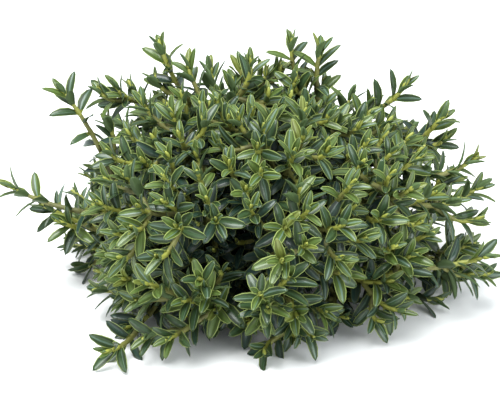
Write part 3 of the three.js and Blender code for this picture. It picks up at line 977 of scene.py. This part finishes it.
def bark_material(colours, bark):
    """Fissured bark: long ridges along the limb, green blotches, and a fine relief."""
    paint = Paint(bark.name)
    grain, green = bark.grain, bark.green
    place = paint.node("ShaderNodeAttribute", {"attribute_name": "straight"}, output=1)
    stretched = paint.node(
        "ShaderNodeVectorMath",
        {"operation": "MULTIPLY"},
        {0: place, 1: (1 / grain, 1 / grain, RIDGE_LENGTH / grain)},
    )
    ridges = paint.noise(stretched, 2.4, 6.0)
    blotches = paint.noise(place, 90.0, 3.0)
    stops = ((0.36, colours.fissure[:]), (0.62, colours.bark[:]))
    ridge_tone = paint.node("ShaderNodeValToRGB", {"stops": stops}, {0: ridges})
    green_tone = tinted(colours.ripening, GREEN_TONE[0] + GREEN_TONE[1] * green)
    mixed = paint.mix((blotches + LEAST_GREEN) * green, ridge_tone, green_tone)
    height = ridges + blotches * BLOTCH_BUMP
    values = {"Strength": 0.7, "Distance": 0.0006, "Height": height}
    relief = paint.node("ShaderNodeBump", {}, values)
    roughness = BARK_ROUGHNESS[0] - ridges * BARK_ROUGHNESS[1]
    return paint.set(Base_Color=mixed, Roughness=roughness, Normal=relief)


def floor_material(stage):
    paint = Paint("pale_floor")
    place = paint.node("ShaderNodeTexCoord", output=3)
    cloud = paint.noise(place, 3.0, 4.0)
    tone = paint.mix(cloud, tinted(stage.floor, CLOUD_TONE), tinted(stage.floor, 1.0))
    return paint.set(Base_Color=tone, Roughness=0.9)


# ---------- leaves

Joint = namedtuple("Joint", "point heading level inwards")
Leaf = namedtuple("Leaf", "point heading outward pair size age skew streaked")


def leaf_age(joint, tone):
    """The age that a leaf shows: by its place on the shoot, and, as painted shade, older and darker
    the deeper or lower it grows.
    """
    if joint.level == 0:
        return LEAF_AGES[0]
    age = AGE[0] + joint.level * AGE[1] + tone * AGE[2]
    # Painted shade: deep and low leaves are made older, so darker.
    deep = max(0, DEEP_SHADE_AGE[0] - joint.inwards) * DEEP_SHADE_AGE[1]
    low = max(0, LOW_SHADE_AGE[0] - joint.point[2]) * LOW_SHADE_AGE[1]
    return LEAF_AGES[min(len(LEAF_AGES) - 1, int(age + (deep + low)))]


def leaves_on(twig, crown, dice):
    """Opposite pairs down a shoot, each turned a quarter from the one above."""
    path = twig.path
    roll = dice() * math.pi
    drift = either(dice, PAIR_DRIFT)
    leaves = []
    for level, pair in enumerate(PAIRS):
        back = pair.back * twig.stretch
        if back > path.length * LEAFY_SHARE:
            break
        share = path.share_at(path.length - back)
        point, heading = path.at(share), path.heading(share)
        joint = Joint(point, heading, level, crown.share_of_reach(point))
        turn = roll + level * (math.pi / 2 + drift) + either(dice, PAIR_JITTER)
        across = turned(unit(np.cross(heading, NEARLY_UP)), heading, turn)
        for outward in (across, -across):
            leaves += leaves_at(joint, outward, twig, dice)
    return leaves


def leaves_at(joint, outward, twig, dice):
    """One leaf of a pair, unless it is lost, and at times a side shoot in its axil."""
    point, heading, level, inwards = joint
    leaves = []
    size = PAIRS[level].size * twig.vigour * (1 + either(dice, SIZE_JITTER))
    age = leaf_age(joint, twig.tone + either(dice, TONE_JITTER))
    skew = strayed(dice)
    if level < KEPT_PAIRS or dice() > LOST_CHANCE:
        streaked = dice() < PAINTED_SHEEN_CHANCE
        leaves.append(Leaf(point, heading, outward, PAIRS[level], size, age, skew, streaked))
    if level in SPUR_LEVELS and inwards > SPURS_FROM and dice() < SPUR_CHANCE:
        leaves += spur_leaves(point, unit(heading + outward * SPUR_LEAN), twig, dice)
    return leaves


def spur_leaves(point, heading, twig, dice):
    """A short side shoot in a leaf's axil: two pairs of small leaves on next to no stem."""
    across = unit(np.cross(heading, SLANT))
    leaves = []
    for level, pair in enumerate(SPUR_PAIRS):
        foot = point + heading * (SPUR_LENGTH - pair.back)
        beside = turned(across, heading, level * math.pi / 2)
        for outward in (beside, -beside):
            size = pair.size * twig.vigour * (1 + either(dice, SPUR_JITTER))
            skew = strayed(dice, SPUR_SKEW)
            leaves.append(Leaf(foot, heading, outward, pair, size, "young", skew, False))
    return leaves


def leaf_shape(pattern, leaf, sizes):
    """A leaf's pattern given its length, outline, channel, bend and twist."""
    t, u, upper = pattern.along, pattern.across, pattern.upper
    stations, widths = zip(*LEAF_OUTLINE)
    long = sizes.leaf_length * leaf.size
    half = sizes.leaf_width / 2 * leaf.size * np.interp(t, stations, widths)
    fold = np.radians(leaf.pair.fold) * (1 - FOLD_LOSS * t)
    thinning = LEAF_THINNING[0] + LEAF_THINNING[1] * (1 - t)
    thick = sizes.leaf_thickness * thinning * np.where(upper < 0, 1, 0)
    off = np.abs(u)
    rise, middle, reach = QUILT
    hump = np.clip(1 - ((off - middle) / reach) ** 2, 0, 1)
    y = u * half * np.cos(fold)
    z = off * half * np.sin(fold) + rise * half * hump * (upper > 0) - thick
    # The midrib is an arc that turns through the leaf's bend.
    bend = math.radians(leaf.pair.bend + leaf.skew.curl)
    arc = bend * t
    bent = abs(bend) > LEAST_BEND
    x = long * t * (np.sinc(arc / np.pi) if bent else 1) + z * np.sin(arc)
    z = z * np.cos(arc) - (long * (1 - np.cos(arc)) / bend if bent else 0)
    turn = leaf.skew.twist * t
    y, z = y * np.cos(turn) - z * np.sin(turn) * TWIST_WIDTH, z + y * np.sin(turn)
    return x, y + long * leaf.skew.sway * t**2, z


def leaf_axes(leaf):
    """Along a leaf, across it and out of its face, which turns to the light."""
    angle = math.radians(leaf.pair.angle - leaf.pair.bend * 0.5 + leaf.skew.lean)
    along = leaf.heading * math.cos(angle) + leaf.outward * math.sin(angle)
    face = leaf.heading * math.sin(angle) - leaf.outward * math.cos(angle)
    light = LIGHT_ABOVE + LIGHT_BEHIND * (2 * smooth_step(leaf.point[1], *BACK_EDGE) - 1)
    lit = light - along * (along @ light)
    face = turned(unit(face + lit * LIGHTWARD), along, leaf.skew.roll)
    return along, np.cross(face, along), face


def leaf_points(pattern, leaf, sizes):
    x, y, z = leaf_shape(pattern, leaf, sizes)
    along, side, face = leaf_axes(leaf)
    return leaf.point + (np.outer(x, along) + np.outer(y, side) + np.outer(z, face))


def laid_on_ground(heights):
    """Heights pressed together, so that what would pass the ground lies on it."""
    return np.where(heights > PRESS, heights, PRESS * np.exp(np.minimum(0, heights / PRESS - 1)))


def leaf_blocks(patterns, leaf, sizes):
    """A leaf, plain where it is old or far down, or nothing if it is too low."""
    is_plain = leaf.age == "old" or leaf.pair not in PAIRS[:FINE_PAIRS]
    pattern = patterns[is_plain]
    points = leaf_points(pattern, leaf, sizes)
    if points[:, 2].min() <= -GROUND_REACH:
        return []
    points[:, 2] = laid_on_ground(points[:, 2])
    picks = [leaf_slot(leaf, LEAF_PARTS[label]) for label in pattern.labels]
    return [(points, pattern.faces, picks, None)]


# ---------- operators


class ShrubPiece:
    """What the operators share."""

    bl_options = {"REGISTER", "UNDO"}

    def plan(self, context):
        sizes = context.scene.shrub_sizes
        return sizes, context.scene.shrub_colours, Crown(sizes)


class SHRUB_OT_main_stem(ShrubPiece, bpy.types.Operator):
    """Grow the main stem, with its root flare and the ridges of its bark"""

    bl_idname = "shrub.main_stem"
    bl_label = "Main stem"

    def execute(self, context):
        sizes = context.scene.shrub_sizes
        height = sizes.stem_height
        path = Bend(on_stem(0), on_stem(height / 2), on_stem(height))
        block = limb_block(
            round_bar(*STEM_BAR),
            path,
            lambda share: stem_radius(sizes, share * height),
            relief=stem_relief(),
        )
        block[0][:, 2] = np.clip(block[0][:, 2], 0, None)
        bark = bark_material(context.scene.shrub_colours, STEM_BARK)
        add_piece("stem_with_bark", [block], [bark], ["main_stem"])
        return {"FINISHED"}


class SHRUB_OT_boughs(ShrubPiece, bpy.types.Operator):
    """Grow the boughs, swollen at their old leaf joints, one piece for each ring"""

    bl_idname = "shrub.boughs"
    bl_label = "Boughs"

    def execute(self, context):
        sizes, colours, crown = self.plan(context)
        bark = bark_material(colours, BOUGH_BARK)
        pattern = round_bar(*BOUGH_BAR)
        for ring in RINGS:
            boughs = crown.ring_boughs(ring)
            blocks = [bough_block(pattern, crown.bough_path(bough), sizes) for bough in boughs]
            nodes = [f"bough_{bough.name}" for bough in boughs]
            add_piece(f"boughs_{ring.name}", blocks, [bark], nodes)
        return {"FINISHED"}


class SHRUB_OT_woody_twigs(ShrubPiece, bpy.types.Operator):
    """Grow the woody part of the twigs, one piece for each ring of boughs"""

    bl_idname = "shrub.woody_twigs"
    bl_label = "Woody twigs"

    def execute(self, context):
        sizes, colours, crown = self.plan(context)
        bark = bark_material(colours, TWIG_BARK)
        pattern = round_bar(*TWIG_BAR)
        for ring in RINGS:
            blocks = []
            for twig in crown.twigs_on(crown.ring_boughs(ring)):
                blocks += woody_blocks(pattern, twig, sizes)
            add_piece(f"woody_twigs_{ring.name}", blocks, [bark])
        return {"FINISHED"}


class SHRUB_OT_green_shoots(ShrubPiece, bpy.types.Operator):
    """Grow the green ends of the twigs and their buds, one piece for each mass of foliage"""

    bl_idname = "shrub.green_shoots"
    bl_label = "Green shoots"

    def execute(self, context):
        sizes, colours, crown = self.plan(context)
        finishes = shoot_materials(colours)
        pattern = round_bar(*SHOOT_BAR, True)
        bud_pattern = extruded_pattern(round_section(BUD_SIDES), BUD_STATIONS, True)
        for bough in crown.boughs:
            blocks = []
            for twig in crown.twigs_on([bough]):
                blocks.append(shoot_block(pattern, twig, sizes))
                blocks.append(bud_block(bud_pattern, twig.path, sizes))
            add_piece(f"green_shoots_{bough.name}", blocks, finishes)
        return {"FINISHED"}


class SHRUB_OT_leaves(ShrubPiece, bpy.types.Operator):
    """Set the shoots with opposite leaves, one piece for each mass of foliage"""

    bl_idname = "shrub.leaves"
    bl_label = "Leaves"

    def execute(self, context):
        sizes, colours, crown = self.plan(context)
        finishes = leaf_materials(colours)
        fine = leaf_pattern(LEAF_SECTION, [station for station, _ in LEAF_OUTLINE])
        patterns = (fine, leaf_pattern(PLAIN_SECTION, PLAIN_STATIONS))
        dice = make_dice(SEED + 5)
        for bough in crown.boughs:
            blocks = []
            for twig in crown.twigs_on([bough]):
                for leaf in leaves_on(twig, crown, dice):
                    blocks += leaf_blocks(patterns, leaf, sizes)
            nodes = [f"foliage_{bough.name}"]
            add_piece(f"leaves_{bough.name}", blocks, finishes, nodes)
        return {"FINISHED"}


class SHRUB_OT_stage(ShrubPiece, bpy.types.Operator):
    """Lay a pale floor, light it softly and set the camera"""

    bl_idname = "shrub.stage"
    bl_label = "Floor, light and camera"

    def execute(self, context):
        stage = context.scene.shrub_stage
        self.lay_floor(stage)
        self.light(context, stage)
        self.set_camera(context, stage)
        return {"FINISHED"}

    def lay_floor(self, stage):
        bm = bmesh.new()
        bmesh.ops.create_grid(bm, x_segments=2, y_segments=2, size=6)
        mesh = bpy.data.meshes.new("pale_floor")
        bm.to_mesh(mesh)
        bm.free()
        mesh.materials.append(floor_material(stage))
        shown("pale_floor", mesh)

    def light(self, context, stage):
        world = bpy.data.worlds.new("soft_sky")
        context.scene.world = world
        world.use_nodes = True
        sky = world.node_tree.nodes["Background"]
        sky.inputs["Color"].default_value = SKY_TONE
        sky.inputs["Strength"].default_value = stage.sky
        for name, place, size, share, tone in LAMPS:
            lamp = bpy.data.lights.new(name, "AREA")
            lamp.shape = "DISK"
            lamp.size = size
            lamp.energy = stage.key * share
            lamp.color = tone
            holder = shown(name, lamp)
            holder.location = place
            aim = Vector(LAMP_TARGET) - Vector(place)
            holder.rotation_euler = aim.to_track_quat("-Z", "Y").to_euler()

    def set_camera(self, context, stage):
        lens = bpy.data.cameras.new("view")
        lens.sensor_width = 36
        lens.lens = stage.lens
        camera = shown("view", lens)
        back = Vector((0, -math.cos(stage.elevation), math.sin(stage.elevation)))
        camera.location = Vector((0, 0, stage.target)) + back * stage.distance
        camera.rotation_euler = (-back).to_track_quat("-Z", "Y").to_euler()
        context.scene.camera = camera
        context.scene.view_settings.view_transform = "Standard"


class SHRUB_PT_panel(bpy.types.Panel):
    """The shrub's settings, and its pieces in the order in which they grow"""

    bl_idname = "SHRUB_PT_panel"
    bl_label = "Hebe Shrub"
    bl_space_type = "VIEW_3D"
    bl_region_type = "UI"
    bl_category = "Shrub"

    def draw(self, context):
        layout = self.layout
        for name in GROUPS:
            group = getattr(context.scene, name)
            box = layout.box()
            for setting in group.__annotations__:
                box.prop(group, setting)
        for piece in PIECES:
            layout.operator(piece.bl_idname)


PIECES = (
    SHRUB_OT_main_stem,
    SHRUB_OT_boughs,
    SHRUB_OT_woody_twigs,
    SHRUB_OT_green_shoots,
    SHRUB_OT_leaves,
    SHRUB_OT_stage,
)
GROUPS = {"shrub_sizes": ShrubSizes, "shrub_colours": ShrubColours, "shrub_stage": ShrubStage}


def register():
    for name, group in GROUPS.items():
        bpy.utils.register_class(group)
        setattr(bpy.types.Scene, name, bpy.props.PointerProperty(type=group))
    for piece in (*PIECES, SHRUB_PT_panel):
        bpy.utils.register_class(piece)


def unregister():
    for piece in (SHRUB_PT_panel, *reversed(PIECES)):
        bpy.utils.unregister_class(piece)
    for name, group in GROUPS.items():
        delattr(bpy.types.Scene, name)
        bpy.utils.unregister_class(group)


def main():
    register()
    for piece in PIECES:
        group, name = piece.bl_idname.split(".")
        getattr(getattr(bpy.ops, group), name)()


if __name__ == "__main__":
    main()
